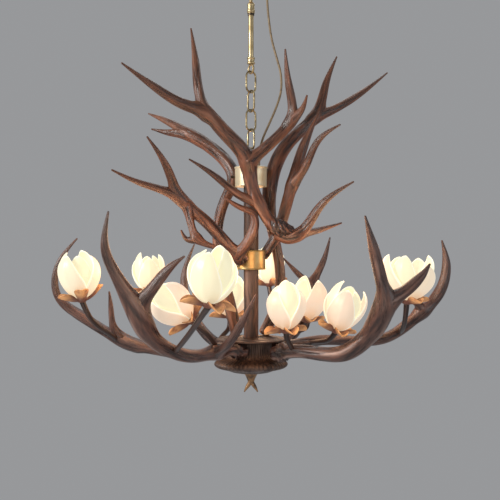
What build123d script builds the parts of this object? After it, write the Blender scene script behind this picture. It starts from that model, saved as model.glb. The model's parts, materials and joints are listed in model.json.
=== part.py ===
from build123d import *
import math
import os

os.makedirs("parts", exist_ok=True)

# Antler chandelier, in millimetres, hanging from a ceiling. The origin is the centre of the ceiling bracket's
# top face. Z points up, X to the right and -Y towards the viewer, so the whole lamp lies below the origin.
# The lamp's own pieces are modelled about its level, the top of the lower drum, and then moved down to it.

# ---------------------------------------------------------------- clearances
hang_gap = 0.3  # daylight between two interlocked wires, and between bodies that move
thread_clearance = 0.05  # radial, where a tube or a neck passes through a plate

# ---------------------------------------------------------------- how finely round pieces are faceted
small_sides = 10
large_sides = 18
wire_sides = 6
bend_facets = 6  # facets in each half circle of a wire loop

# ---------------------------------------------------------------- ceiling bracket, canopy and cord grip
bracket_length = 96
bracket_width = 22
bracket_thickness = 2.5
bracket_hole_spacing = 70
bracket_hole_radius = 2.6
canopy_radius = 62
canopy_height = 33
canopy_wall = 1.5
canopy_band = 7  # upright band at the ceiling
canopy_shoulder = 44  # radius where the cone meets the flat bottom
nipple_radius = 5
collar_radius = 9
collar_height = 8
grip_offset = 36  # sideways place of the cord grip, which is also where the cord starts
grip_radius = 6
grip_height = 7
grip_neck_radius = 4
grip_neck_height = 6

# ---------------------------------------------------------------- chain, rings and rod
chain_yaw = 34  # the first link's plane, turned about Z from the XZ plane
link_length = 52
link_width = 29
link_wire = 4.2
link_count = 4
ring_width = 24
ring_wire = 4.4
ring_sink = 1.2  # how deep a ring's wire is set into the piece that carries it
bell_radius = 9
bell_height = 30
bell_neck_radius = 4
bell_neck_height = 4.6
rod_radius = 6
rod_length = 94.2
rod_socket = 8  # depth of the rod's ends inside the bell and the ferrule
ferrule_radius = 9
ferrule_height = 15

# ---------------------------------------------------------------- column, drums and hub, from the lamp's level
column_radius = 17.5
column_wall = 2.5
upper_drum_radius = 36
upper_drum_height = 45
upper_drum_top = 187
lower_drum_radius = 33
lower_drum_height = 44
drum_rim = 1.8  # how far a drum's rolled rim stands out
drum_rim_height = 4
flange_radius = 12
flange_height = 5
loop_neck_radius = 4.5
loop_neck_height = 17
cord_offset = 18  # sideways place of the cord's lower end on the upper drum's lid
knob_radius = 3
knob_length = 9
plate_radius = 78
plate_thickness = 6
plate_top = -197
hub_neck_radius = 47
hub_neck_height = 46
hub_rim_radius = 83
hub_rim_height = 14
hub_flutes = 26
hub_flute_depth = 3.5
hub_base_radius = 40
hub_base_height = 12
finial_top_radius = 16.5
finial_waist_radius = 7
finial_waist_drop = 18
finial_fork_drop = 33
finial_tine_reach = 15
finial_tine_drop = 44

# ---------------------------------------------------------------- flowers
shade_height = 98
shade_radius = 47  # at the belly, in the middle of an outer petal
shade_wall = 2
shade_floor = 3
petal_lean = 4  # how far the inner petals stand inside the outer ones
petal_count = 6  # outer and inner petals in turn
petal_seam = 4.5  # how far the seam between two petals lies inside the outer one
petal_tip = 0.36  # width of a petal's blunt tip, as a share of its sector
petal_notch = 26  # depth of the notch between two tips
cup_foot_radius = 14
socket_radius = 9
socket_height = 24
socket_gap = 0.6  # radial, between a lamp holder and the hole in its shade's floor
bulb_radius = 8
bulb_height = 34
sepal_rise = 22
sepal_reach = 52
sepal_width = 27
sepal_wall = 3
sepal_count = 4
calyx_height = 9
calyx_radius = 15
calyx_foot_radius = 9
stem_radius = 5.5
stem_top_radius = 6.5
stem_insert = 4  # how far the stem's end runs into the calyx's foot before it is cut to it

# ---------------------------------------------------------------- supply cord
cord_diameter = 5
# Chosen points of the cord's route: (x, y, height above the lamp's level). The first is at the grip, the
# last at the upper drum's lid, and both take their sideways place and height from those pieces.
cord_bends = [
    (grip_offset, 0, 562),
    (40, 2, 519),
    (46, 2, 476),
    (57, 1, 436),
    (68, 0, 398),
    (69, -1, 358),
    (57, -2, 320),
    (41, -2, 284),
    (26, -1, 251),
    (cord_offset, 0, 220),
]

# ---------------------------------------------------------------- antlers, from the lamp's level
# A route is a list of (x, y, z, radius). The first route of an antler is its beam, from the butt that sits
# on the hub or a drum, and the others are tines that leave it. The last radius is the rounded tip's.
tip = 1.8
lower_antlers = {
    "lower_antler_front_left": [
        [(-14, -50, -222, 14), (-69, -84, -217, 13), (-107, -115, -223, 13.5), (-156, -155, -211, 14.5),
         (-192, -180, -186, 16.5), (-219, -205, -144, 19), (-239, -222, -95, 20), (-260, -238, -52, 14.5),
         (-282, -252, 0, 10), (-275, -260, 73, tip)],
        [(-232, -220, -96, 13), (-196, -222, -76, 12), (-166, -232, -42, 9), (-131, -240, -14, tip)],
        [(-72, -90, -218, 11), (-52, -132, -200, 10.5), (-20, -166, -150, 8), (9, -184, -92, tip)],
    ],
    "lower_antler_front_right": [
        [(34, -38, -224, 14), (105, -85, -217, 14), (156, -115, -220, 15.5), (196, -140, -213, 17.5),
         (228, -160, -188, 18.5), (254, -180, -152, 18.5), (267, -198, -106, 18), (260, -212, -66, 13),
         (241, -230, 0, 11), (221, -250, 65, tip)],
        [(266, -198, -110, 12), (298, -200, -91, 10.5), (328, -200, -66, 8), (357, -200, -32, tip)],
    ],
    "lower_antler_far_left": [
        [(-44, 8, -226, 14), (-120, 14, -238, 12), (-207, 20, -230, 11), (-289, 35, -211, 11),
         (-395, 55, -151, 11), (-450, 60, -107, 9), (-452, 62, -40, 7), (-406, 62, 26, tip)],
        [(-290, 35, -210, 8), (-314, 28, -176, 7.5), (-320, 24, -130, 6), (-323, 20, -96, tip)],
    ],
    "lower_antler_far_right": [
        [(44, 10, -224, 14), (100, 20, -216, 13), (170, 30, -206, 12), (310, 45, -203, 12),
         (379, 55, -160, 12), (438, 60, -100, 10), (456, 60, -35, 7.5), (445, 60, 21, tip)],
        [(398, 57, -140, 8), (384, 42, -126, 6), (364, 22, -120, tip)],
    ],
    "lower_antler_back_right": [
        [(20, 42, -224, 14), (60, 100, -226, 13), (100, 160, -210, 13), (138, 214, -156, 13),
         (158, 243, -88, 11), (186, 254, -30, 8), (204, 260, 31, tip)],
        [(156, 240, -96, 9), (118, 240, -58, 7), (82, 235, -20, tip)],
    ],
    "lower_antler_back_left": [
        [(-20, 42, -224, 14), (-62, 104, -228, 13), (-104, 164, -214, 13), (-148, 212, -160, 12),
         (-170, 232, -70, 9), (-145, 238, 13, tip)],
        [(-148, 212, -156, 8), (-196, 212, -130, 7), (-232, 204, -84, tip)],
    ],
}
upper_antlers = {
    "upper_antler_trunk": [
        [(82, -54, 40, 14), (56, -54, 52, 13), (32, -50, 72, 13), (16, -50, 104, 13.5), (2, -51, 140, 15),
         (-3, -53, 172, 17), (-13, -60, 206, 18), (-56, -74, 254, 16), (-101, -85, 296, 15),
         (-140, -104, 308, 12), (-196, -136, 336, 9), (-260, -190, 376, tip)],
        [(-98, -84, 292, 12), (-112, -84, 340, 10.5), (-120, -66, 404, 8.5), (-132, -40, 487, tip)],
        [(-6, -60, 190, 14), (20, -63, 212, 13), (60, -66, 248, 12), (86, -68, 283, 11), (82, -80, 352, 8.5),
         (73, -96, 427, tip)],
        [(84, -67, 276, 9), (107, -84, 298, 7), (118, -110, 326, tip)],
        [(14, -50, 100, 9), (-29, -62, 122, 9), (-78, -74, 160, 7), (-131, -96, 193, tip)],
    ],
    "upper_antler_back_right": [
        [(30, 42, -190, 13), (50, 44, -150, 13), (66, 45, -92, 12), (56, 43, 20, 12), (44, 38, 84, 14),
         (44, 27, 146, 17), (58, 34, 200, 17), (94, 45, 256, 15), (151, 64, 315, 13.5), (176, 90, 389, 9),
         (206, 120, 464, tip)],
        [(147, 62, 307, 11), (198, 82, 333, 10), (254, 112, 369, 8), (336, 170, 437, tip)],
    ],
    "upper_antler_right": [
        [(28, 8, -14, 11), (60, 4, 40, 12), (76, -2, 90, 13), (96, -8, 160, 13), (118, -2, 232, 11),
         (154, 10, 312, tip)],
        [(92, -8, 144, 9), (120, -34, 184, 9), (148, -60, 240, 7), (190, -90, 268, tip)],
    ],
    "upper_antler_mid_right": [
        [(12, -24, -30, 12), (50, -48, -16, 13), (84, -54, 4, 13), (106, -58, 36, 12), (147, -80, 92, 9),
         (216, -110, 144, tip)],
        [(100, -56, 32, 9), (150, -30, 44, 7), (204, 6, 61, tip)],
    ],
    "upper_antler_mid_left": [
        [(-18, -30, -24, 12), (-48, -46, 8, 14), (-103, -58, 66, 13), (-152, -74, 112, 12),
         (-176, -106, 170, 9), (-214, -150, 233, tip)],
        [(-147, -72, 105, 10), (-187, -94, 127, 9), (-227, -118, 139, 7), (-285, -160, 164, tip)],
        [(-138, -70, 98, 7.5), (-126, -84, 46, 6.5), (-114, -92, 22, 6), (-80, -98, 7, tip)],
        [(-120, -88, 30, 5), (-136, -90, 24, 4.5), (-149, -92, 41, tip)],
        [(-30, -40, -14, 11), (-8, -52, 16, 12), (4, -56, 40, 11.5), (8, -58, 62, 10), (3, -59, 80, 8),
         (-12, -61, 88, 6.5), (-36, -68, 99, 5.5), (-57, -76, 114, tip)],
    ],
    "upper_antler_left": [
        [(-34, 42, -190, 14), (-51, 45, -120, 14), (-67, 45, -46, 13), (-77, 44, 34, 12), (-56, 37, 122, 12),
         (-40, 24, 164, 15.5), (-55, 33, 200, 14), (-93, 48, 237, 13), (-146, 66, 273, 11),
         (-195, 100, 304, 8), (-248, 140, 331, tip)],
        [(-142, 64, 269, 8), (-189, 74, 276, 6.5), (-234, 90, 286, tip)],
    ],
}

# ---------------------------------------------------------------- flower places, from the lamp's level
# Each flower stands on a stem: (name, foot of the flower, direction in which it looks, the stem's other
# points down to the antler that carries it).
flowers = [
    ("1", (-368, -56, -114), (-0.12, -0.05, 1), [(-352, -46, -150), (-322, -4, -186), (-306, 30, -206)]),
    ("2", (-262, 262, -118), (-0.05, 0, 1), [(-256, 254, -142), (-226, 232, -152), (-192, 213, -132)]),
    ("3", (-122, -134, -150), (-0.7, -0.1, 0.6), [(-104, -126, -166), (-86, -108, -186), (-70, -88, -214)]),
    ("4", (-78, -362, -104), (0.14, -0.06, 1), [(-94, -322, -126), (-124, -250, -168), (-156, -164, -208)]),
    ("5", (-52, 182, -172), (0.02, 0, 1), [(-54, 178, -190), (-66, 150, -206), (-80, 132, -222)]),
    ("6", (50, 376, -100), (0, 0.02, 1), [(54, 360, -130), (74, 280, -180), (106, 176, -200)]),
    ("7", (74, -112, -176), (-0.03, -0.04, 1), [(76, -110, -186), (82, -98, -200), (92, -80, -218)]),
    ("8", (138, 150, -178), (0.06, 0, 1), [(136, 150, -188), (120, 156, -198), (100, 160, -210)]),
    ("9", (182, -70, -180), (0.32, -0.12, 1), [(172, -56, -194), (152, -22, -204), (136, 22, -212)]),
    ("10", (338, -62, -118), (0.1, -0.04, 1), [(338, -50, -146), (340, -10, -176), (344, 46, -190)]),
]


# ---------------------------------------------------------------- shapes
def faceted(rings, flat=False, looped=False):
    """A solid of flat faces through rings of corners, with as many corners in each ring.

    Each four neighbours give two triangles, or one face where flat says that they lie in a plane. The first and
    the last ring are closed by a face each, or joined to each other if the rings are looped.
    """
    faces = []
    following = rings[1:] + rings[:1] if looped else rings[1:]
    for ring, after in zip(rings, following):
        for index, corner in enumerate(ring):
            beside = (index + 1) % len(ring)
            around = [corner, ring[beside], after[beside], after[index]]
            outlines = [around] if flat else [around[:3], [around[0], around[2], around[3]]]
            faces += [Face(Wire.make_polygon(outline)) for outline in outlines]
    if not looped:
        faces += [Face(Wire.make_polygon(ring)) for ring in (rings[0], rings[-1])]
    return Solid(Shell(faces))


def ring_of(place, radius, sides):
    """The corners of a regular polygon about a plane's origin."""
    turns = [2 * math.pi * index / sides for index in range(sides)]
    return [place.from_local_coords((radius * math.cos(turn), radius * math.sin(turn), 0)) for turn in turns]


def turned(profile, sides, looped=False):
    """A piece turned about Z: each (radius, height) of its profile gives one polygon."""
    rings = [ring_of(Plane(origin=(0, 0, height)), radius, sides) for radius, height in profile]
    return faceted(rings, flat=True, looped=looped)


def prism(radius, low, high, sides=small_sides):
    """A straight flat-sided rod about Z."""
    return turned([(radius, low), (radius, high)], sides)


def wire_loop(length, width, wire):
    """A closed loop of wire standing in the XZ plane: two half circles joined by straight sides."""
    bend = (width - wire) / 2
    lift = (length - width) / 2
    rings = []
    for start, middle in ((0, lift), (180, -lift)):
        for step in range(bend_facets + (1 if lift > 0 else 0)):
            turn = math.radians(start + 180 * step / bend_facets)
            away = Vector(math.cos(turn), 0, math.sin(turn))
            along = Vector(-away.Z, 0, away.X)
            place = Plane(origin=away * bend + Vector(0, 0, middle), x_dir=away, z_dir=along)
            rings.append(ring_of(place, wire / 2, wire_sides))
    return faceted(rings, flat=True, looped=True)


def limb(route, bands, sides):
    """One antler branch: flat facets between polygons that follow a smooth curve through the route."""
    points = [Vector(x, y, z) for x, y, z, _ in route]
    curve = Spline(*points)
    runs = [0]
    for first, second in zip(points, points[1:]):
        runs.append(runs[-1] + (second - first).length)
    across = Vector(0.3, 0.5, 0.8)
    rings = []
    for step in range(bands + 1):
        share = step / bands
        along = curve % share
        across = (across - along * across.dot(along)).normalized()
        place = Plane(origin=curve @ share, x_dir=across, z_dir=along)
        rings.append(ring_of(place, radius_at(route, runs, share), sides))
    return faceted(rings)


def radius_at(route, runs, share):
    """The route's radius at a share of its length."""
    reach = share * runs[-1]
    for index in range(len(runs) - 1):
        if reach <= runs[index + 1] + 1e-6:
            part = (reach - runs[index]) / (runs[index + 1] - runs[index])
            return route[index][3] + part * (route[index + 1][3] - route[index][3])
    return route[-1][3]


def burr(route, swell=1.35, thickness=15):
    """The knobbly crown at an antler's butt: an eight-sided ring that swells round the beam."""
    first = Vector(*route[0][:3])
    along = (Vector(*route[1][:3]) - first).normalized()
    radius = route[0][3]
    start = first + along * (radius * 0.9)
    rings = []
    for share, scale in [(0, 1), (0.5, swell), (1, 1)]:
        rings.append(ring_of(Plane(origin=start + along * (thickness * share), z_dir=along), radius * scale, 8))
    return faceted(rings, flat=True)


def antler(routes, crowned):
    """A beam with its tines, and a burr where it is crowned, as one solid."""
    shape = limb(routes[0], len(routes[0]), 7)
    for route in routes[1:]:
        shape += limb(route, len(route), 6)
    if crowned:
        shape += burr(routes[0])
    return shape.solid()


def leaf(stations, fold, wall):
    """A folded leaf with thin edges that rises from the XY plane on its +X side.

    Every station is (height, reach, width). Its middle stands out from its edges by a share of its width.
    """
    rings = []
    for height, reach, width in stations:
        edge = reach - fold * width
        outline = [(edge, -width / 2), (reach, 0), (edge, width / 2), (reach - wall, 0)]
        rings.append([Vector(x, y, height) for x, y in outline])
    return faceted(rings)


def petal_ring(share, reach, wall, notched=False):
    """One ring of a shade's corners, three for each petal, at a share of its height and of its belly radius.

    Two corners carry a petal and the third is its seam to the next one, which stands in from both. Outer and
    inner petals take turns. A notched ring is the rim, whose seams drop from the tips to the notches.
    """
    corners = []
    for petal in range(petal_count):
        lean = petal_lean * (petal % 2)
        for turn, inward, drop in ((-petal_tip / 2, lean, 0), (petal_tip / 2, lean, 0), (0.5, petal_seam, petal_notch)):
            angle = 2 * math.pi * (petal + turn) / petal_count
            radius = reach * (shade_radius - inward) - wall
            height = share * shade_height - (drop if notched else 0)
            corners.append(Vector(radius * math.cos(angle), radius * math.sin(angle), height))
    return corners


def shade():
    """A tulip-shaped shade: a cup whose wall swells into petals with tips, looking along +Z from its foot."""
    foot = cup_foot_radius / shade_radius
    swell = [(0.22, 0.87), (0.62, 1.02)]
    rings = [petal_ring(share, reach, 0) for share, reach in [(0, foot)] + swell]
    rings += [petal_ring(1, 0.76, wall, notched=True) for wall in (0, shade_wall)]
    rings += [petal_ring(share, reach, shade_wall) for share, reach in reversed(swell)]
    rings.append(petal_ring(shade_floor / shade_height, foot, 0))
    return faceted(rings) - prism(socket_radius + socket_gap, -shade_floor, 2 * shade_floor, 8)


def calyx():
    """The brown collar under a flower: a short cone and its sepals, looking along +Z from its foot."""
    shape = turned([(calyx_foot_radius, 0), (calyx_radius, calyx_height)], 8)
    stations = [
        (sepal_rise * 0.2, sepal_reach * 0.13, sepal_width * 0.3),
        (sepal_rise * 0.5, sepal_reach * 0.66, sepal_width),
        (sepal_rise, sepal_reach, sepal_width * 0.2),
    ]
    sepal = leaf(stations, 0.3, sepal_wall)
    for index in range(sepal_count):
        shape += Rot(0, 0, 22.5 + index * 360 / sepal_count) * sepal
    return shape.solid()


def star(height, radius, depth, points):
    """A ring of corners that stand in and out in turn, as round a fluted rim."""
    corners = []
    for index in range(2 * points):
        reach = radius - depth * (index % 2)
        turn = math.pi * index / points
        corners.append(Vector(reach * math.cos(turn), reach * math.sin(turn), height))
    return corners


def looking(place, direction):
    """The frame of a piece whose foot is at a place and that looks along a direction."""
    return Plane(origin=place, x_dir=(1, 0, 0), z_dir=direction).location


def save(node, shape):
    """Writes a node's file."""
    export_step(shape, f"parts/{node}.step")


def cut_by(shape, others):
    """The shape with its neighbours' volumes taken away, so that it seats on their faces."""
    box = shape.bounding_box()
    for other in others:
        if box.overlaps(other.bounding_box()):
            shape = shape - other
    return max(shape.solids(), key=lambda piece: piece.volume)


# ---------------------------------------------------------------- ceiling bracket
bracket = Pos(0, 0, -bracket_thickness / 2) * Box(bracket_length, bracket_width, bracket_thickness)
for side in (-1, 1):
    screw_hole = Cylinder(bracket_hole_radius, 4 * bracket_thickness)
    bracket -= Pos(side * bracket_hole_spacing / 2, 0, 0) * screw_hole
bracket -= prism(nipple_radius + thread_clearance, -2 * bracket_thickness, bracket_thickness)
save("ceiling_bracket", bracket)

# ---------------------------------------------------------------- canopy
canopy_bore = (nipple_radius + thread_clearance) / math.cos(math.pi / large_sides)  # to its corners
canopy_profile = [
    (canopy_bore, -canopy_height),
    (canopy_shoulder, -canopy_height),
    (canopy_radius, -canopy_band),
    (canopy_radius, 0),
    (canopy_radius - canopy_wall, 0),
    (canopy_radius - canopy_wall, -canopy_band),
    (canopy_shoulder - canopy_wall, canopy_wall - canopy_height),
    (canopy_bore, canopy_wall - canopy_height),
]
canopy = turned(canopy_profile, large_sides, looped=True)
grip_bore = prism(grip_neck_radius + thread_clearance, -2 * canopy_height, 0)
canopy -= Pos(grip_offset, 0, 0) * grip_bore
save("canopy", canopy)

# ---------------------------------------------------------------- canopy loop: nipple, collar and ring
ring_bend = (ring_width - ring_wire) / 2
canopy_ring_z = -canopy_height - collar_height - ring_width / 2 + ring_sink
nipple_profile = [
    (nipple_radius, 0),
    (nipple_radius, -canopy_height),
    (collar_radius, -canopy_height),
    (collar_radius, -canopy_height - collar_height),
]
ring = wire_loop(ring_width, ring_width, ring_wire)
canopy_loop = turned(nipple_profile, small_sides) + Pos(0, 0, canopy_ring_z) * Rot(0, 0, chain_yaw) * ring
save("canopy_loop", canopy_loop)

# ---------------------------------------------------------------- cord grip
grip_profile = [
    (grip_radius, -canopy_height - grip_height),
    (grip_radius, -canopy_height),
    (grip_neck_radius, -canopy_height),
    (grip_neck_radius, grip_neck_height - canopy_height),
]
save("cord_grip", Pos(grip_offset, 0, 0) * turned(grip_profile, small_sides))

# ---------------------------------------------------------------- rod: bell with its ring, tube, ferrule with its ring
wire_rise = ring_wire + hang_gap
bell_ring_z = canopy_ring_z - 2 * ring_bend + wire_rise
bell_neck_top = bell_ring_z - ring_width / 2 + ring_sink
bell_top = bell_neck_top - bell_neck_height
bell_foot = bell_top - bell_height
bell_profile = [
    (bell_neck_radius, bell_neck_top),
    (bell_neck_radius, bell_top),
    (bell_radius * 0.75, bell_top - 4),
    (bell_radius * 0.8, bell_top - bell_height * 0.7),
    (bell_radius, bell_foot),
    (rod_radius, bell_foot),
    (rod_radius, bell_foot + rod_socket),
]
bell = turned(bell_profile, small_sides) + Pos(0, 0, bell_ring_z) * Rot(0, 0, chain_yaw + 90) * ring
save("rod_top_bell", bell)

rod_top = bell_foot + rod_socket
rod_bottom = rod_top - rod_length - 2 * rod_socket
save("suspension_rod", prism(rod_radius, rod_bottom, rod_top))

ferrule_top = rod_bottom + rod_socket
ferrule_bottom = ferrule_top - ferrule_height
ferrule_profile = [
    (ferrule_radius, ferrule_bottom),
    (ferrule_radius, ferrule_top),
    (rod_radius, ferrule_top),
    (rod_radius, rod_bottom),
]
ferrule_ring_z = ferrule_bottom - ring_width / 2 + ring_sink
ferrule = turned(ferrule_profile, small_sides) + Pos(0, 0, ferrule_ring_z) * Rot(0, 0, chain_yaw + 90) * ring
save("rod_bottom_ferrule", ferrule)

# ---------------------------------------------------------------- chain links
link = wire_loop(link_length, link_width, link_wire)
link_pitch = link_length - 2 * link_wire - hang_gap
first_link_top = ferrule_ring_z - ring_bend + (ring_wire + link_wire) / 2 + hang_gap
for index in range(link_count):
    link_z = first_link_top - index * link_pitch - (link_length - link_wire) / 2
    link_yaw = chain_yaw + 90 * (index % 2)
    save(f"chain_link_{index + 1}", Pos(0, 0, link_z) * Rot(0, 0, link_yaw) * link)

# ---------------------------------------------------------------- lamp level, from the loop that hangs in the last link
last_link_wire = link_z - (link_length - link_wire) / 2
top_ring_wire = last_link_wire + (ring_wire + link_wire) / 2 + hang_gap
top_ring_z = top_ring_wire - ring_bend
loop_base = upper_drum_top + flange_height
ring_above_level = loop_base + loop_neck_height + ring_width / 2 - ring_sink
level = top_ring_z - ring_above_level
lamp = Pos(0, 0, level)

loop_profile = [
    (flange_radius, upper_drum_top),
    (flange_radius, loop_base),
    (loop_neck_radius, loop_base),
    (loop_neck_radius, loop_base + loop_neck_height),
]
lamp_ring = Pos(0, 0, ring_above_level) * Rot(0, 0, chain_yaw + 90 * (link_count % 2)) * ring
save("top_loop", lamp * (turned(loop_profile, small_sides) + lamp_ring))

# ---------------------------------------------------------------- column and drums
column_top = upper_drum_top - drum_rim_height
column_foot = plate_top - plate_thickness
column_profile = [
    (column_radius, column_foot),
    (column_radius, column_top),
    (column_radius - column_wall, column_top),
    (column_radius - column_wall, column_foot),
]
column = turned(column_profile, large_sides, looped=True)
save("column_tube", lamp * column)

upper_drum_foot = upper_drum_top - upper_drum_height
upper_drum_profile = [
    (upper_drum_radius + drum_rim, upper_drum_top),
    (upper_drum_radius + drum_rim, column_top),
    (upper_drum_radius, column_top),
    (upper_drum_radius, upper_drum_foot),
    (column_radius, upper_drum_foot),
    (column_radius, column_top),
]
upper_drum = turned(upper_drum_profile, large_sides)
save("upper_drum", lamp * upper_drum)

lower_drum_profile = [
    (lower_drum_radius, 0),
    (lower_drum_radius, -lower_drum_height),
    (column_radius, -lower_drum_height),
    (column_radius, 0),
]
lower_drum = turned(lower_drum_profile, large_sides, looped=True)
save("lower_drum", lamp * lower_drum)

knob = Rot(0, 90, 0) * prism(knob_radius, -knob_length / 2, knob_length / 2, 8)
upper_drum_middle = upper_drum_top - upper_drum_height / 2
upper_knob = Pos(-upper_drum_radius - knob_length / 2, 0, upper_drum_middle) * knob
lower_knob = Pos(lower_drum_radius + knob_length / 2, -6, -lower_drum_height / 4) * knob
knobs = [cut_by(upper_knob, [upper_drum]), cut_by(lower_knob, [lower_drum])]
save("drum_knobs", Compound([lamp * piece for piece in knobs]))

# ---------------------------------------------------------------- hub, cover plate and finial
hub_top = plate_top - plate_thickness
plate_profile = [
    (plate_radius, plate_top),
    (plate_radius, hub_top),
    (column_radius, hub_top),
    (column_radius, plate_top),
]
plate = turned(plate_profile, large_sides, looped=True)
save("hub_cover_plate", lamp * plate)

hub_rim_top = hub_top - hub_neck_height
hub_foot = hub_rim_top - hub_rim_height - hub_base_height
hub_levels = [
    (hub_top, hub_neck_radius),
    (hub_top - hub_neck_height * 0.7, hub_neck_radius * 1.05),
    (hub_rim_top - hub_rim_height / 2, hub_rim_radius),
    (hub_rim_top - hub_rim_height, hub_rim_radius - 5),
    (hub_foot, hub_base_radius),
]
flute_share = hub_flute_depth / hub_rim_radius
hub = faceted([star(height, radius, flute_share * radius, hub_flutes) for height, radius in hub_levels], flat=True)
save("hub_body", lamp * hub)

finial_profile = [
    (finial_top_radius, hub_foot),
    (finial_top_radius * 0.8, hub_foot - 6),
    (finial_waist_radius, hub_foot - finial_waist_drop),
    (finial_waist_radius * 1.25, hub_foot - finial_waist_drop - 6),
    (finial_waist_radius * 0.6, hub_foot - finial_fork_drop),
]
finial = turned(finial_profile, small_sides)
for side in (-1, 1):
    tine = [
        (0, 0, hub_foot - finial_fork_drop + 8, finial_waist_radius * 0.55),
        (side * finial_tine_reach * 0.5, 0, hub_foot - finial_fork_drop, 3.4),
        (side * finial_tine_reach, 0, hub_foot - finial_tine_drop, 1.2),
    ]
    finial += limb(tine, 3, 6)
save("finial", lamp * finial.solid())

# ---------------------------------------------------------------- antlers, each cut to seat on what stands in its way
carriers = [hub, plate, column, upper_drum, lower_drum]
antlers = []
for name, routes in {**lower_antlers, **upper_antlers}.items():
    shape = cut_by(antler(routes, name in lower_antlers), carriers + knobs + antlers)
    antlers.append(shape)
    save(name, lamp * shape)

# ---------------------------------------------------------------- flowers
one_shade = shade()
one_calyx = calyx()
one_holder = prism(socket_radius, 0, socket_height, 8)
bulb_profile = [
    (bulb_radius * 0.7, socket_height),
    (bulb_radius, socket_height + bulb_height * 0.4),
    (bulb_radius * 0.3, socket_height + bulb_height),
]
one_bulb = turned(bulb_profile, 6)
calyxes = []
holders = []
bulbs = []
for name, foot, direction, stem_points in flowers:
    frame = looking(foot, direction)
    seat = frame * Pos(0, 0, calyx_height)
    insert = Vector(foot) + Vector(direction).normalized() * stem_insert
    route = [(insert.X, insert.Y, insert.Z, stem_top_radius)]
    route += [(*point, stem_radius) for point in stem_points]
    flower_calyx = frame * one_calyx
    stem = cut_by(limb(route, 3, 6), [flower_calyx] + antlers + carriers)
    save(f"flower_stem_{name}", lamp * stem)
    save(f"flower_shade_{name}", lamp * seat * one_shade)
    calyxes.append(lamp * flower_calyx)
    holders.append(lamp * seat * one_holder)
    bulbs.append(lamp * seat * one_bulb)
save("calyxes", Compound(calyxes))
save("lamp_holders", Compound(holders))
save("bulbs", Compound(bulbs))

# ---------------------------------------------------------------- supply cord
cord_top = (grip_offset, 0, -canopy_height - grip_height)
cord_foot = (cord_offset, 0, level + upper_drum_top)
cord_points = [Vector(cord_top)]
cord_points += [Vector(x, y, level + z) for x, y, z in cord_bends]
cord_points += [Vector(cord_foot)]
cord_radii = []
for before, corner, after in zip(cord_points, cord_points[1:], cord_points[2:]):
    turn = (corner - before).get_angle(after - corner)
    shorter = min((corner - before).length, (after - corner).length)
    cord_radii.append(0.45 * shorter / math.tan(math.radians(turn / 2)))
cord_path = FilletPolyline(*cord_points, radius=cord_radii)
cord_start = Plane(origin=cord_points[0], z_dir=cord_points[1] - cord_points[0])
cord = sweep(cord_start * RegularPolygon(cord_diameter / 2, wire_sides), path=cord_path)
save("supply_cord", cord)
print("cord radii:", [round(radius) for radius in cord_radii])
cord_area = wire_sides / 2 * (cord_diameter / 2) ** 2 * math.sin(2 * math.pi / wire_sides)
print("cord length:", round(cord_path.length, 1))
print("cord volume over section times length:", round(cord.volume / cord_area / cord_path.length, 4))
print("lamp level:", round(level, 2), "finial tip:", round(level + hub_foot - finial_tine_drop, 1))
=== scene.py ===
# %% [markdown]
# # Antler chandelier
#
# This lesson dresses a chandelier whose construction already exists: every ring, antler and flower has a
# plain solid in a imported model, and the solids know how they hang and swing. Blender adds what the eye sees:
# grooved antlers, glowing petals, aged brass and a soft studio. Nothing here moves or resizes a solid. A
# plain solid is swapped for a finer surface that lies in the same place and rides on the same body, except
# the stretches of the cord, which are not tied to a body here.

# %% Load the construction
import json
import math
from collections import namedtuple

import bpy
import numpy as np
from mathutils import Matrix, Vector


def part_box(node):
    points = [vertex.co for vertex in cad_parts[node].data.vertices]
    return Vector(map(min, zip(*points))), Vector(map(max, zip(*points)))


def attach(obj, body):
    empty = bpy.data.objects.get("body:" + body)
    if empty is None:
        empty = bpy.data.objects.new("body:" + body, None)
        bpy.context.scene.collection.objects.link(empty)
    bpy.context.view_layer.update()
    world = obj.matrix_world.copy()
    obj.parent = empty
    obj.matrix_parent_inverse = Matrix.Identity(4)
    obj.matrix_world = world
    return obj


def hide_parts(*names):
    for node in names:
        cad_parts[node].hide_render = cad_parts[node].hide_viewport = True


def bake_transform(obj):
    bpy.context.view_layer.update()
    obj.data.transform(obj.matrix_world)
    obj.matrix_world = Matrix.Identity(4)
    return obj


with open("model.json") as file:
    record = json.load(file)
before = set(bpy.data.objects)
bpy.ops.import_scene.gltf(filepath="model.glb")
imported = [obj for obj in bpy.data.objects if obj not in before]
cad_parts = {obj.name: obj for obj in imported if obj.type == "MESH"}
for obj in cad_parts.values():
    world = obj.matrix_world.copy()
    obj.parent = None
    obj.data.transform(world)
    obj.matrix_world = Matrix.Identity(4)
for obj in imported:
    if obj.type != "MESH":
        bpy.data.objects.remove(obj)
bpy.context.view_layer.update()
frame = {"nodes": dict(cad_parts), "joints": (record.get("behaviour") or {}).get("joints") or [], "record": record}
MM = 0.001
scene = bpy.context.scene
lamp_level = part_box("lower_drum")[1][2]
bodies = frame["record"]["behaviour"]["bodies"]
body_of_node = {node: body for body, group in bodies.items() for node in group}
print("lamp level:", round(lamp_level, 4))


def new_object(name, data):
    """An object that holds some data, linked into the scene."""
    thing = bpy.data.objects.new(name, data)
    scene.collection.objects.link(thing)
    return thing


# %% [markdown]
# ## Camera
#
# The camera stands level with the lower drum and almost two metres away. A long lens, 57 mm on a 36 mm wide
# sensor, gives the flat look of a catalogue photograph. The lens is given as a focal length in pixels.

# %% Camera
sensor_width = 36
focal_pixels = 790
picture_pixels = 500
camera_data = bpy.data.cameras.new("camera")
camera_data.sensor_width = sensor_width
camera_data.lens = sensor_width * focal_pixels / picture_pixels
camera = new_object("camera", camera_data)
camera.location = (-0.00225, -1.78, lamp_level)
camera.rotation_euler = (math.pi / 2, 0, 0)
scene.camera = camera
scene.view_settings.view_transform = "Standard"
print("lens:", round(camera_data.lens, 2), "mm")

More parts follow.
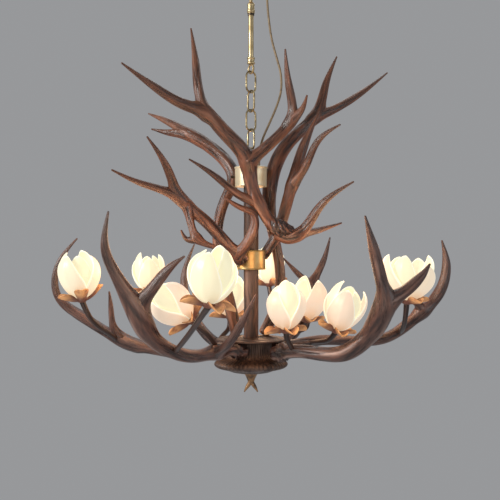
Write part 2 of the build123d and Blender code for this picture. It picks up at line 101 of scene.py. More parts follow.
# %% [markdown]
# ## Surfaces from grids
#
# Every new piece is a grid of points. Rows run along the piece and columns run across or around it. One
# helper turns any number of grids into a single mesh: it numbers the points, joins each four neighbours by a
# face, and closes the ends of tubes. The numbering is done on whole arrays, so a long antler takes no time.


# %% Grid helpers
def circle(columns):
    """One row of angles, evenly spread round a full turn."""
    return np.linspace(0, math.tau, columns, endpoint=False)[None, :]


def polar(radius, angle, height):
    """A grid of points: x = radius * cos(angle), y = radius * sin(angle), z = height."""
    parts = np.broadcast_arrays(radius * np.cos(angle), radius * np.sin(angle), height)
    return np.stack(parts, axis=2)


def above(level, *rows):
    """Outline rows of radius and height above a level, both in millimetres, as metres in the frame."""
    return [(radius * MM, level + height * MM) for radius, height in rows]


def levels(node):
    """The heights of a node's foot and top."""
    low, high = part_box(node)
    return low[2], high[2]


# %% Mesh from grids
def grid_faces(rows, columns, around, along, first):
    """Corner numbers of one grid's faces: (i, j), (i, j+1), (i+1, j+1), (i+1, j), counted from first."""
    i, j = np.meshgrid(np.arange(rows if along else rows - 1), np.arange(columns if around else columns - 1),
                       indexing="ij")
    below = (i + 1) % rows
    beside = (j + 1) % columns
    corners = [i * columns + j, i * columns + beside, below * columns + beside, below * columns + j]
    return np.stack([corner.ravel() for corner in corners], axis=1) + first


def mesh_piece(name, grids, around=True, along=False, closed=True):
    """One object from a list of grids, each a dictionary of "points" and, if wanted, named values per point.

    A closed tube ends in one face across each of its open ends.
    """
    corner_numbers = []
    face_sizes = []
    first = 0
    for grid in grids:
        rows, columns = grid["points"].shape[:2]
        faces = grid_faces(rows, columns, around, along, first)
        corner_numbers.append(faces.ravel())
        face_sizes.append(np.full(len(faces), 4))
        if closed and around and not along:
            first_ring = np.arange(columns) + first
            corner_numbers.extend([first_ring[::-1], first_ring + (rows - 1) * columns])
            face_sizes.append(np.full(2, columns))
        first += rows * columns
    points = np.concatenate([grid["points"].reshape(-1, 3) for grid in grids])
    corner_numbers = np.concatenate(corner_numbers)
    face_sizes = np.concatenate(face_sizes)
    mesh = bpy.data.meshes.new(name)
    mesh.vertices.add(len(points))
    mesh.vertices.foreach_set("co", points.astype(np.float32).ravel())
    mesh.loops.add(len(corner_numbers))
    mesh.loops.foreach_set("vertex_index", corner_numbers.astype(np.int32))
    mesh.polygons.add(len(face_sizes))
    starts = np.concatenate([[0], np.cumsum(face_sizes)[:-1]])
    mesh.polygons.foreach_set("loop_start", starts.astype(np.int32))
    mesh.polygons.foreach_set("use_smooth", np.ones(len(face_sizes), dtype=bool))
    mesh.update(calc_edges=True)
    mesh.validate()
    for key in [key for key in grids[0] if key != "points"]:
        values = np.concatenate([grid[key].reshape(-1, grid[key].shape[2]) for grid in grids])
        kind, field = ("FLOAT", "value") if values.shape[1] == 1 else ("FLOAT_VECTOR", "vector")
        mesh.attributes.new(key, kind, "POINT").data.foreach_set(field, values.ravel())
    return new_object(name, mesh)


def dress(piece, material, *nodes, slot, body=None):
    """Gives a piece its material and its body, and hides the construction nodes that it stands for. The slot is
    not used.
    """
    piece.data.materials.append(material)
    if nodes:
        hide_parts(*nodes)
    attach(piece, body or body_of_node[nodes[0]])
    return piece


# %% [markdown]
# ## Shared finishes
#
# Aged brass, bronze and horn have one thing in common: their colour is never even. A node group called
# mottle mixes two colours by a soft noise and also puts out a mask and a height, so that the same blotches
# can change roughness and relief. A second group called streaks does the same with noise that is stretched
# along a limb. It reads the attribute grain, which the limb's own mesh carries, so the streaks follow every
# bend. Each material then holds its own Principled shader.


# %% Node helpers
def connect(tree, node, socket, value):
    """Sets an input socket, found by its name or its number, to a value or links it to another socket."""
    target = node.inputs[socket]
    if isinstance(value, bpy.types.NodeSocket):
        tree.links.new(value, target)
    elif isinstance(value, tuple):
        target.default_value = (*value, 1)
    else:
        target.default_value = value


def add_node(tree, kind, **inputs):
    """A new node with its named input sockets set. A colour is a tuple of three."""
    node = tree.nodes.new(kind)
    for label, value in inputs.items():
        connect(tree, node, label.replace("_", " "), value)
    return node


def noise(tree, place, scale, **inputs):
    """A noise texture's value at a place."""
    return add_node(tree, "ShaderNodeTexNoise", Vector=place, Scale=scale, **inputs).outputs["Fac"]


def attribute(tree, name, output="Fac"):
    """The value that a mesh carries under a name, as a socket."""
    node = tree.nodes.new("ShaderNodeAttribute")
    node.attribute_name = name
    return node.outputs[output]


def ramp(tree, factor, low, high):
    """A smooth step of the factor from 0 at low to 1 at high."""
    node = add_node(tree, "ShaderNodeMapRange", Value=factor, From_Min=low, From_Max=high)
    node.interpolation_type = "SMOOTHSTEP"
    return node.outputs["Result"]


def mix(tree, factor, first, second):
    """The colour mixed from first to second by a factor."""
    node = tree.nodes.new("ShaderNodeMix")
    node.data_type = "RGBA"
    for index, value in ((0, factor), (6, first), (7, second)):
        connect(tree, node, index, value)
    return node.outputs[2]


def arithmetic(tree, operation, first, second):
    """One Math node's result."""
    node = tree.nodes.new("ShaderNodeMath")
    node.operation = operation
    connect(tree, node, 0, first)
    connect(tree, node, 1, second)
    return node.outputs[0]


def new_group(name, colours, numbers):
    """A shader group with named colour and number inputs, which puts out a colour, a mask and a height."""
    group = bpy.data.node_groups.new(name, "ShaderNodeTree")
    add = group.interface.new_socket
    for label, value in colours.items():
        add(label, in_out="INPUT", socket_type="NodeSocketColor").default_value = (*value, 1)
    for label, value in numbers.items():
        add(label, in_out="INPUT", socket_type="NodeSocketFloat").default_value = value
    for label, kind in (("Color", "Color"), ("Mask", "Float"), ("Height", "Float")):
        add(label, in_out="OUTPUT", socket_type="NodeSocket" + kind)
    return group, group.nodes.new("NodeGroupInput").outputs, group.nodes.new("NodeGroupOutput")


def put_out(group, result, colour, mask, height):
    """Joins a group's three results to its output."""
    for label, value in (("Color", colour), ("Mask", mask), ("Height", height)):
        connect(group, result, label, value)
    return group


# %% Mottle group
def build_mottle():
    """Two noises of different size in object coordinates: blotches choose the colour, grains roughen it."""
    group, given, result = new_group("mottle", {"Main": (0.5, 0.4, 0.2), "Patches": (0.2, 0.15, 0.1)},
                                     {"Size": 40.0, "Grain": 900.0})
    place = group.nodes.new("ShaderNodeTexCoord").outputs["Object"]
    blotches = noise(group, place, given["Size"], Detail=5.0)
    grains = noise(group, place, given["Grain"], Detail=2.0)
    mask = ramp(group, blotches, 0.42, 0.66)
    speckle = arithmetic(group, "SUBTRACT", arithmetic(group, "MULTIPLY", grains, 0.3), 0.12)
    share = arithmetic(group, "ADD", arithmetic(group, "MULTIPLY", mask, 0.85), speckle)
    colour = mix(group, share, given["Main"], given["Patches"])
    height = arithmetic(group, "ADD", grains, arithmetic(group, "MULTIPLY", blotches, 2.0))
    return put_out(group, result, colour, mask, height)


mottle = build_mottle()


# %% Streaks group
def build_streaks():
    """Noise on the limb's own grain coordinates, which run slowly along it and quickly around it."""
    colours = {"Deep": (0.03, 0.015, 0.01), "Body": (0.16, 0.08, 0.05), "Crest": (0.4, 0.3, 0.27)}
    group, given, result = new_group("streaks", colours, {"Fineness": 160.0, "Wear_and_highlight": 0.6})
    grain = attribute(group, "grain", "Vector")
    crest = attribute(group, "crest")
    lines = noise(group, grain, given["Fineness"], Detail=6.0, Roughness=0.62)
    broad = noise(group, grain, arithmetic(group, "MULTIPLY", given["Fineness"], 0.22), Detail=3.0)
    line_mask = ramp(group, lines, 0.32, 0.68)
    broad_mask = ramp(group, broad, 0.35, 0.7)
    tone = arithmetic(group, "ADD", arithmetic(group, "MULTIPLY", line_mask, 0.55),
                      arithmetic(group, "MULTIPLY", broad_mask, 0.45))
    body = mix(group, tone, given["Deep"], given["Body"])
    # Pale ridges: where crest is high, the colour goes towards Crest. This is partly the ridges' own rubbed
    # paleness and partly a painted highlight.
    ridge = ramp(group, crest, -0.1, 0.9)
    worn_and_highlit = arithmetic(group, "MULTIPLY", arithmetic(group, "MULTIPLY", ridge, broad_mask), given["Wear_and_highlight"])
    lit = mix(group, worn_and_highlit, body, given["Crest"])
    # Painted shade: where crest is below zero, in the grooves, the colour is darkened towards Deep.
    gutter = arithmetic(group, "MULTIPLY", ramp(group, crest, 0.0, -0.8), 0.85)
    colour = mix(group, gutter, lit, given["Deep"])
    height = arithmetic(group, "ADD", lines, arithmetic(group, "MULTIPLY", crest, 0.4))
    return put_out(group, result, colour, tone, height)


streaks = build_streaks()


# %% Material helpers
def new_material(name, **constants):
    """A material with one Principled shader whose plain numbers are set on its own sockets."""
    material = bpy.data.materials.new(name)
    material.use_nodes = True
    tree = material.node_tree
    shader = next(node for node in tree.nodes if node.type == "BSDF_PRINCIPLED")
    for label, value in constants.items():
        connect(tree, shader, label.replace("_", " "), value)
    return material, tree, shader


def place_group(tree, group, values):
    """A shared group placed in a material with its own values."""
    node = tree.nodes.new("ShaderNodeGroup")
    node.node_tree = group
    for label, value in values.items():
        connect(tree, node, label, value)
    return node.outputs


def patterned(name, group, values, rough, depth, **constants):
    """A material with colour, roughness and relief from one group, and its tree, shader and colour socket."""
    material, tree, shader = new_material(name, **constants)
    pattern = place_group(tree, group, values)
    roughness = add_node(tree, "ShaderNodeMapRange", Value=pattern["Mask"], To_Min=rough[0], To_Max=rough[1])
    bump = add_node(tree, "ShaderNodeBump", Height=pattern["Height"], Distance=depth, Strength=1.0)
    connect(tree, shader, "Base Color", pattern["Color"])
    connect(tree, shader, "Roughness", roughness.outputs["Result"])
    connect(tree, shader, "Normal", bump.outputs["Normal"])
    return material, tree, shader, pattern["Color"]


def grown(name, deep, body, crest, fineness, wear_and_highlight, rough, depth, **constants):
    """A streaked, grown-looking surface: horn, bark or stem."""
    values = {"Deep": deep, "Body": body, "Crest": crest, "Fineness": fineness, "Wear_and_highlight": wear_and_highlight}
    return patterned(name, streaks, values, rough, depth, **constants)[0]


def blotched(name, main, patches, size, grain, rough, depth, **constants):
    """A surface with blotches of a second colour and a fine grain."""
    values = {"Main": main, "Patches": patches, "Size": size, "Grain": grain}
    return patterned(name, mottle, values, rough, depth, **constants)


def aged_metal(name, main, patches, size, rough, depth, metallic=1.0):
    """Metal or metal-coloured casting with blotches of patina."""
    return blotched(name, main, patches, size, 1400.0, rough, depth, Metallic=metallic)[0]


def moulded(name, main, patches, rough, depth, **constants):
    """Plastic, rubber, sheath or glass: nearly even, with a fine moulded grain."""
    return blotched(name, main, patches, 90.0, 2200.0, rough, depth, **constants)[0]


# %% Antler, bark and stem materials
# The first colour of each streaked finish makes the dark streaks and also darkens the grooves as painted shade.
# The third colour of each streaked finish lightens the ridges, partly as their own rubbed paleness and partly as a
# painted highlight.
antler_finish = grown("antler_resin", (0.014, 0.006, 0.005), (0.14, 0.062, 0.042), (0.66, 0.47, 0.39), 260.0,
                      1.0, (0.22, 0.42), 0.002, Specular_IOR_Level=0.5, Coat_Weight=0.1, Coat_Roughness=0.36)
upper_finish = grown("antler_resin_upper", (0.012, 0.005, 0.003), (0.2, 0.07, 0.032), (0.56, 0.3, 0.19), 250.0,
                     0.9, (0.24, 0.44), 0.002, Specular_IOR_Level=0.55)
bark_finish = grown("column_bark", (0.02, 0.011, 0.008), (0.15, 0.073, 0.047), (0.3, 0.2, 0.15), 260.0,
                    0.6, (0.35, 0.6), 0.0016)
stem_finish = grown("stem_paint", (0.014, 0.007, 0.005), (0.06, 0.028, 0.019), (0.2, 0.11, 0.08), 300.0,
                    0.5, (0.28, 0.46), 0.0005)

# %% Metal materials
brass_finish = aged_metal("aged_brass", (0.5, 0.4, 0.23), (0.34, 0.26, 0.13), 30.0, (0.4, 0.52), 0.00003)
pale_finish = aged_metal("pale_brass", (0.74, 0.66, 0.47), (0.56, 0.47, 0.28), 26.0, (0.34, 0.5),
                         0.00006, 0.55)
olive_finish = aged_metal("olive_brass", (0.34, 0.25, 0.11), (0.24, 0.16, 0.06), 26.0, (0.34, 0.46),
                          0.00006, 0.7)
chain_finish = aged_metal("chain_brass", (0.46, 0.37, 0.21), (0.14, 0.10, 0.05), 60.0, (0.26, 0.42), 0.00012)
bronze_finish = aged_metal("dark_bronze", (0.095, 0.054, 0.037), (0.035, 0.019, 0.014), 45.0, (0.36, 0.56),
                           0.0003, 0.3)
finial_finish = aged_metal("finial_bronze", (0.27, 0.145, 0.06), (0.03, 0.018, 0.013), 70.0, (0.34, 0.5),
                           0.0004, 0.3)
screw_finish = aged_metal("dark_screw", (0.09, 0.07, 0.05), (0.03, 0.02, 0.015), 200.0, (0.3, 0.5), 0.0002)
zinc_finish = aged_metal("zinc_plate", (0.6, 0.6, 0.58), (0.42, 0.42, 0.42), 120.0, (0.28, 0.42), 0.0001)

# %% Cord, plastic and bulb materials
cord_finish = moulded("cord_sheath", (0.2, 0.14, 0.07), (0.13, 0.09, 0.05), (0.4, 0.55), 0.0002)
grip_finish = moulded("grip_plastic", (0.03, 0.028, 0.025), (0.02, 0.018, 0.016), (0.4, 0.5), 0.0001)
holder_finish = moulded("holder_plastic", (0.8, 0.78, 0.7), (0.7, 0.66, 0.58), (0.3, 0.4), 0.0001)
bulb_finish = moulded("bulb_glass", (1.0, 0.93, 0.8), (1.0, 0.9, 0.75), (0.1, 0.2), 0.00002,
                      Emission_Color=(1.0, 0.86, 0.62), Emission_Strength=1.5)


# %% Petal and leaf materials
def petal_material():
    """Opal glass lit from inside: peach near the foot, cream on the body, brighter at the rims and within."""
    lit = {"Emission_Strength": 0.6, "Specular_IOR_Level": 0.35}
    material, tree, shader, body = blotched("opal_petal", (1.0, 0.80, 0.62), (1.0, 0.73, 0.53), 26.0, 700.0,
                                            (0.3, 0.42), 0.0002, **lit)
    layer = attribute(tree, "layer")
    rim = ramp(tree, attribute(tree, "rim"), 0.45, 0.95)
    glow = mix(tree, ramp(tree, attribute(tree, "rise"), 0.02, 0.45), (1.0, 0.60, 0.33), body)
    glow = mix(tree, rim, mix(tree, layer, glow, (1.0, 0.94, 0.66)), (1.0, 0.95, 0.76))
    connect(tree, shader, "Emission Color", glow)
    base = mix(tree, layer, (0.36, 0.28, 0.23), (0.46, 0.43, 0.28))
    connect(tree, shader, "Base Color", mix(tree, rim, base, (0.62, 0.60, 0.46)))
    return material


def leaf_material():
    """Thin painted leaf that glows orange where the flower above lights it."""
    material, tree, shader, body = blotched("sepal_paint", (0.55, 0.27, 0.1), (0.22, 0.08, 0.035), 55.0, 900.0,
                                            (0.4, 0.6), 0.0003, Emission_Strength=0.5)
    colour = mix(tree, ramp(tree, attribute(tree, "rise"), 0.1, 0.9), (0.1, 0.035, 0.02), body)
    connect(tree, shader, "Base Color", colour)
    connect(tree, shader, "Emission Color", colour)
    return material


petal_finish = petal_material()
leaf_finish = leaf_material()
print("materials:", len(bpy.data.materials), "groups:", len(bpy.data.node_groups))

# %% [markdown]
# ## Floor, background and lamps
#
# The chandelier hangs, so the floor is a plain pale disc well below it, out of the picture from the front.
# The background is the world itself, pale grey where the camera, a reflection or glass looks at it. From
# below, the floor is clear, by the Backfacing output of the Geometry node, so that it hides nothing. A large
# lamp on the left models the forms, three weaker ones fill the shadows, and four small warm points stand
# for the light that the flowers throw on the antlers.


# %% Floor
def floor_disc(radius, height, rings=12, columns=96):
    """Rings from the radius down to nearly nothing, all at one height."""
    share = np.linspace(1, 0.001, rings)[:, None]
    return mesh_piece("floor", [{"points": polar(share * radius, circle(columns), height)}], closed=False)


floor = floor_disc(3.0, lamp_level - 1.7)
paper, paper_tree, paper_shader = new_material("floor_paper", Roughness=0.9)
paper_values = {"Main": (0.62, 0.63, 0.65), "Patches": (0.59, 0.60, 0.62), "Size": 2.0, "Grain": 60.0}
connect(paper_tree, paper_shader, "Base Color", place_group(paper_tree, mottle, paper_values)["Color"])
from_behind = paper_tree.nodes.new("ShaderNodeNewGeometry").outputs["Backfacing"]
connect(paper_tree, paper_shader, "Alpha", arithmetic(paper_tree, "SUBTRACT", 1.0, from_behind))
floor.data.materials.append(paper)

# %% Lamps
glow_places = [(-0.26, -0.05), (0.26, -0.02), (0.02, -0.24), (0.02, 0.26)]
lamps = [
    ("key_lamp", "AREA", (-2.3, -1.3, 0.9), 1.0, 80, (1.0, 0.98, 0.95)),
    ("fill_lamp", "AREA", (2.0, -1.4, 0.3), 1.6, 12, (0.95, 0.97, 1.0)),
    ("back_lamp", "AREA", (0.3, 1.2, 1.7), 1.8, 14, (1.0, 0.97, 0.94)),
    *((f"glow_{number}", "POINT", (x, y, -0.02), 0.07, 1.2, (1.0, 0.55, 0.28))
      for number, (x, y) in enumerate(glow_places, start=1)),
    ("low_lamp", "AREA", (-0.5, -1.9, -0.55), 1.4, 9, (1.0, 0.82, 0.68)),
]
for name, kind, place, size, power, colour in lamps:
    data = bpy.data.lights.new(name, kind)
    data.energy = power
    data.color = colour
    if kind == "AREA":
        data.size = size
    else:
        data.shadow_soft_size = size
    lamp = new_object(name, data)
    lamp.location = Vector(place) + Vector((0, 0, lamp_level))
    lamp.rotation_euler = (-Vector(place)).to_track_quat("-Z", "Y").to_euler()
    lamp.visible_camera = False
print("lamps:", len(lamps))

# %% World
world = bpy.data.worlds.new("studio")
scene.world = world
world.use_nodes = True
sky = world.node_tree
light = sky.nodes["Background"]
connect(sky, light, "Color", (0.82, 0.84, 0.88))
connect(sky, light, "Strength", 0.36)
seen = add_node(sky, "ShaderNodeBackground", Color=(0.31, 0.315, 0.325))
ray = sky.nodes.new("ShaderNodeLightPath").outputs
looked_at = arithmetic(sky, "MAXIMUM", ray["Is Camera Ray"], ray["Is Glossy Ray"])
choice = sky.nodes.new("ShaderNodeMixShader")
connect(sky, choice, 0, arithmetic(sky, "MAXIMUM", looked_at, ray["Is Transmission Ray"]))
connect(sky, choice, 1, light.outputs["Background"])
connect(sky, choice, 2, seen.outputs["Background"])
connect(sky, sky.nodes["World Output"], "Surface", choice.outputs["Shader"])
print("world:", world.name)

# %% [markdown]
# ## A limb and its relief
#
# An antler's branch is a tube round a smooth line. The line is a natural cubic spline: between two knots it
# is a cubic, and its second derivative is continuous, so the tube never kinks. Rings stand square to the
# line. The direction in which the knots scatter least gives one steady reference for all rings, so no ring
# twists.


# %% Smooth line
def smooth_line(knots, spacing):
    """Natural cubic spline through the knots by chord length: solves the second derivatives, then samples."""
    steps = np.linalg.norm(np.diff(knots, axis=0), axis=1)
    chord = np.concatenate([[0], np.cumsum(steps)])
    system = np.eye(len(chord))
    turn = np.zeros((len(chord), 3))
    middle = np.arange(1, len(chord) - 1)
    system[middle, middle - 1] = steps[:-1] / 6
    system[middle, middle] = (steps[:-1] + steps[1:]) / 3
    system[middle, middle + 1] = steps[1:] / 6
    slopes = np.diff(knots, axis=0) / steps[:, None]
    turn[middle] = slopes[1:] - slopes[:-1]
    second = np.linalg.solve(system, turn)
    reach = np.linspace(0, chord[-1], max(10, int(chord[-1] / spacing)))
    span = np.clip(np.searchsorted(chord, reach, side="right") - 1, 0, len(steps) - 1)
    width = steps[span][:, None]
    after = (reach - chord[span])[:, None] / width
    before = 1 - after
    bend = (before ** 3 - before) * second[span] + (after ** 3 - after) * second[span + 1]
    return reach, chord, before * knots[span] + after * knots[span + 1] + bend * width ** 2 / 6


def ring_axes(line, steady=None):
    """Tangent and two unit vectors across it, by a steady direction or the one of the line's least scatter."""
    tangent = np.gradient(line, axis=0)
    tangent /= np.linalg.norm(tangent, axis=1)[:, None]
    if steady is None:
        steady = np.linalg.svd(line - line.mean(axis=0))[2][2]
    side = np.cross(tangent, steady)
    side /= np.linalg.norm(side, axis=1)[:, None]
    return tangent, side, np.cross(tangent, side)


# %% Limb
grain_girth = 0.013
grain_along = 0.13
butt_share = 0.45


def gutters(reach, angle, share, seed, count=6):
    """Narrow grooves whose angle wanders along the limb: minus the sum of bell curves round their angles."""
    random = np.random.default_rng(seed)
    total = np.zeros(np.broadcast_shapes(reach.shape, angle.shape))
    for index in range(count):
        start = math.tau * (index + random.uniform(-0.3, 0.3)) / count
        wander = 0.45 * np.sin(math.tau * reach / random.uniform(0.12, 0.26) + random.uniform(0, 6))
        gap = np.angle(np.exp(1j * (angle - start - wander)))
        width = random.uniform(0.10, 0.2)
        strength = 0.5 + 0.5 * np.sin(math.tau * reach / random.uniform(0.07, 0.15) + random.uniform(0, 6))
        total -= strength * np.exp(-((gap / width) ** 2))
    ridges = 0.55 * np.cos(3 * angle + 9 * share + seed) + 0.45 * np.cos(5 * angle - 7 * share)
    return total * (1 - share ** 3) + 0.5 * ridges * (1 - 0.7 * share)


def limb(route, seed, start_share=0.0, burr=None, sides=32, spacing=0.0036, depth=0.12, end_rings=5):
    """A tube round the route's smooth line: radius times (1 + depth * relief), closed by a round butt and tip.

    A route is rows of x, y, z and radius in metres. A burr is its place along the limb and its half width in
    metres, its height as a share of the radius, and how much painted shade darkens its hollows. Its knobs are
    two waves round the limb that drift along it.
    """
    reach, chord, line = smooth_line(route[:, :3], spacing)
    radius = np.interp(reach, chord, route[:, 3])
    window = np.hanning(11)[1:-1]
    padded = np.concatenate([np.full(4, radius[0]), radius, np.full(4, radius[-1])])
    radius = np.convolve(padded, window / window.sum(), mode="valid")
    axes = ring_axes(line)
    tangent = axes[0]
    swell = np.sin(np.linspace(0.25, 1, end_rings + 1)[1:] * math.pi / 2)
    ending = np.sqrt(1 - (0.98 * swell) ** 2)
    butt = swell[::-1] * radius[0] * butt_share
    tip = swell * radius[-1]
    line = np.concatenate([line[0] - tangent[0] * butt[:, None], line, line[-1] + tangent[-1] * tip[:, None]])
    radius = np.concatenate([radius[0] * ending[::-1], radius, radius[-1] * ending])
    reach = np.concatenate([-butt, reach, reach[-1] + tip])
    side, other = (np.pad(axis, ((end_rings, end_rings), (0, 0)), mode="edge") for axis in axes[1:])
    angle = circle(sides)
    along = reach[:, None]
    share = start_share + (1 - start_share) * along / reach[-1]
    crest = gutters(along, angle, share, seed)
    height = radius[:, None] * (1 + depth * crest * np.clip((1 - share) * 6, 0, 1))
    if burr:
        place, spread, rise, shade = burr
        bump = np.exp(-(((along - place) / spread) ** 4))
        knobs = 0.8 + np.cos(7 * angle + 1 + 260 * along) * np.cos(620 * along)
        knobs = knobs + 0.5 * np.cos(13 * angle - 420 * along)
        height = height + radius[:, None] * rise * bump * knobs
        # Painted shade: the hollows between the burr's knobs get lower crest values, so the material darkens them.
        crest = crest - shade * bump * (1.5 - knobs)
    outward = np.cos(angle)[..., None] * side[:, None] + np.sin(angle)[..., None] * other[:, None]
    surface = {
        "points": line[:, None] + height[..., None] * outward,
        "grain": polar(grain_girth, angle, grain_along * along) + 0.37 * (seed % 17),
        "crest": crest[..., None],
    }
    return surface, (line, radius, outward)


# %% [markdown]
# ## Forks without a seam
#
# Where a tine leaves its beam, real antler flows from one into the other. Two plain tubes would meet in a
# hard line. The smooth minimum of two distances mends that: near the meeting line, each surface is lifted by
# k / 4 * (1 - d / k) squared, where d is its distance from the other limb and k is the width of the blend.
# Both surfaces rise by the same amount where they meet, so the corner becomes a soft web.


# %% Webs at the forks
def web(limbs, blend):
    """Lifts each limb's surface near the others by blend / 4 * (1 - d / blend) ** 2."""
    surfaces = []
    for index, (surface, (_, _, outward)) in enumerate(limbs):
        points = surface["points"]
        distance = np.full(points.shape[:2], blend)
        for other_index, (_, (line, radius, _)) in enumerate(limbs):
            if other_index != index:
                gap = np.linalg.norm(points[:, :, None] - line[None, None, ::2], axis=3) - radius[::2]
                distance = np.minimum(distance, gap.min(axis=2))
        rise = blend / 4 * (1 - np.clip(distance, 0, blend) / blend) ** 2
        surfaces.append({**surface, "points": points + outward * rise[..., None]})
    return surfaces


def to_frame(rows):
    """Rows in millimetres about the lamp's level, with or without a radius, as metres in the frame."""
    table = np.array(rows, dtype=float) * MM
    table[:, 2] += lamp_level
    return table


# %% [markdown]
# ## The antlers
#
# Twelve antlers make the lamp: six low ones that sweep out and up from the hub, and six high ones on the two
# drums. Each is a beam and its tines. The routes follow the construction's, in millimetres about the lamp's
# level, so the carved surface lies where the plain solid is. A tine starts well inside its beam. In every
# row the last number is the radius.

# %% Antler routes
tip = 1.8
lower_antlers = {
    "front_left": [
        [(-14, -50, -222, 14), (-69, -84, -217, 13), (-107, -115, -223, 13.5), (-156, -155, -211, 14.5),
         (-192, -180, -186, 16.5), (-219, -205, -144, 19), (-240, -222, -97, 18), (-262, -238, -52, 12),
         (-282, -252, 0, 9), (-275, -260, 73, tip)],
        [(-212, -198, -154, 10), (-216, -210, -112, 13.5), (-196, -222, -78, 12.5), (-172, -229, -48, 10.5),
         (-154, -235, -30, 7), (-131, -240, -13, tip)],
        [(-72, -90, -218, 11), (-52, -132, -200, 10.5), (-20, -166, -150, 8), (9, -184, -92, tip)],
    ],
    "front_right": [
        [(50, -58, -226, 16), (105, -85, -218, 14.5), (156, -115, -220, 15.5), (196, -140, -213, 17.5),
         (228, -160, -188, 18.5), (254, -180, -152, 18.5), (267, -198, -106, 18), (260, -212, -66, 13),
         (241, -230, 0, 11), (221, -250, 65, tip)],
        [(252, -180, -152, 10), (268, -197, -114, 14), (298, -200, -90, 13), (328, -200, -65, 11.5),
         (345, -200, -47, 7.5), (357, -200, -29, tip)],
    ],
    "far_left": [
        [(-44, 8, -226, 14), (-120, 14, -238, 12), (-207, 20, -230, 11), (-289, 35, -211, 11),
         (-395, 55, -153, 13), (-450, 60, -107, 9), (-452, 62, -40, 7), (-406, 62, 26, tip)],
        [(-262, 32, -220, 8), (-292, 35, -206, 8.5), (-314, 28, -176, 7.5), (-320, 24, -130, 6),
         (-323, 20, -96, tip)],
    ],
    "far_right": [
        [(44, 10, -224, 14), (100, 20, -216, 13), (170, 30, -206, 12), (310, 45, -203, 12),
         (379, 55, -160, 14), (438, 60, -100, 13.5), (455, 60, -35, 10.5), (445, 60, 21, tip)],
        [(398, 57, -140, 8), (384, 42, -126, 6), (364, 22, -120, tip)],
    ],
    "back_right": [
        [(20, 42, -224, 14), (60, 100, -226, 13), (100, 160, -210, 13), (138, 214, -156, 13),
         (158, 243, -88, 11), (186, 254, -30, 8), (204, 260, 31, tip)],
        [(156, 240, -96, 9), (118, 240, -58, 7), (82, 235, -20, tip)],
    ],
    "back_left": [
        [(-20, 42, -224, 14), (-62, 104, -228, 13), (-104, 164, -214, 13), (-148, 212, -160, 12),
         (-170, 232, -70, 9), (-145, 238, 13, tip)],
        [(-148, 212, -156, 8), (-196, 212, -130, 7), (-232, 204, -84, tip)],
    ],
}
upper_antlers = {
    "trunk": [
        [(90, -54, 39, 10), (76, -54, 41, 16), (58, -53, 48, 17), (38, -50, 66, 13.5), (18, -50, 102, 13),
         (2, -51, 140, 14.5), (-3, -53, 172, 17), (-13, -60, 206, 18), (-56, -74, 254, 16),
         (-101, -85, 296, 15), (-140, -104, 308, 12), (-196, -136, 336, 9), (-260, -190, 376, tip)],
        [(-98, -84, 292, 12), (-112, -84, 340, 10.5), (-120, -66, 404, 8.5), (-132, -40, 487, tip)],
        [(-6, -60, 190, 14), (20, -63, 212, 13), (60, -66, 248, 12), (86, -68, 283, 11), (82, -80, 352, 8.5),
         (73, -96, 427, tip)],
        [(84, -67, 276, 9), (107, -84, 298, 7), (118, -110, 326, tip)],
        [(14, -50, 100, 9), (-29, -62, 122, 9), (-78, -74, 160, 7), (-131, -96, 193, tip)],
    ],
    "back_right": [
        [(30, 42, -190, 13), (50, 44, -150, 13), (66, 45, -92, 12), (56, 43, 20, 12), (44, 38, 84, 14),
         (44, 27, 146, 17), (58, 34, 200, 17), (94, 45, 256, 15), (151, 64, 315, 13.5), (176, 90, 389, 9),
         (206, 120, 464, tip)],
        [(147, 62, 307, 11), (198, 82, 333, 10), (254, 112, 369, 8), (336, 170, 437, tip)],
    ],
    "right": [
        [(28, 8, -14, 11), (60, 4, 40, 12), (76, -2, 90, 13), (96, -8, 160, 13), (118, -2, 232, 11),
         (154, 10, 312, tip)],
        [(92, -8, 144, 9), (120, -34, 184, 9), (148, -60, 240, 7), (190, -90, 268, tip)],
    ],
    "mid_right": [
        [(56, -52, 34, 11), (82, -55, 26, 13.5), (106, -58, 36, 12.5), (147, -80, 92, 9),
         (216, -110, 144, tip)],
        [(100, -56, 32, 9), (150, -30, 44, 7), (204, 6, 61, tip)],
    ],
    "mid_left": [
        [(-18, -30, -24, 12), (-48, -46, 8, 14), (-103, -58, 66, 13), (-152, -74, 112, 12),
         (-176, -106, 170, 9), (-214, -150, 233, tip)],
        [(-147, -72, 105, 10), (-187, -94, 127, 9), (-227, -118, 139, 7), (-285, -160, 164, tip)],
        [(-138, -70, 98, 9), (-126, -84, 46, 8), (-114, -92, 24, 9), (-80, -98, 7, 5)],
        [(-116, -90, 24, 7), (-136, -90, 22, 5.5), (-149, -92, 41, tip)],
        [(-30, -40, -14, 11), (-8, -52, 16, 12), (4, -56, 40, 11.5), (8, -58, 62, 10), (3, -59, 80, 8),
         (-12, -61, 88, 6.5), (-36, -68, 99, 5.5), (-57, -76, 114, tip)],
    ],
    "left": [
        [(-34, 42, -190, 14), (-51, 45, -120, 14), (-67, 45, -46, 13), (-77, 44, 34, 12), (-56, 37, 122, 12),
         (-40, 24, 164, 15.5), (-55, 33, 200, 15), (-93, 48, 237, 15), (-144, 66, 272, 13),
         (-195, 100, 304, 9), (-248, 140, 331, tip)],
        [(-118, 58, 254, 8), (-150, 65, 268, 9.5), (-189, 74, 275, 8), (-234, 90, 286, tip)],
    ],
}
# The last number of each burr is how much painted shade darkens its hollows.
burrs = {f"lower_antler_{name}": (0.021, 0.011, 0.3, 0.5) for name in lower_antlers}
burrs["upper_antler_trunk"] = (0.02, 0.03, 0.17, 1.0)
burrs["upper_antler_mid_left"] = (0.0, 0.012, 0.16, 0.6)


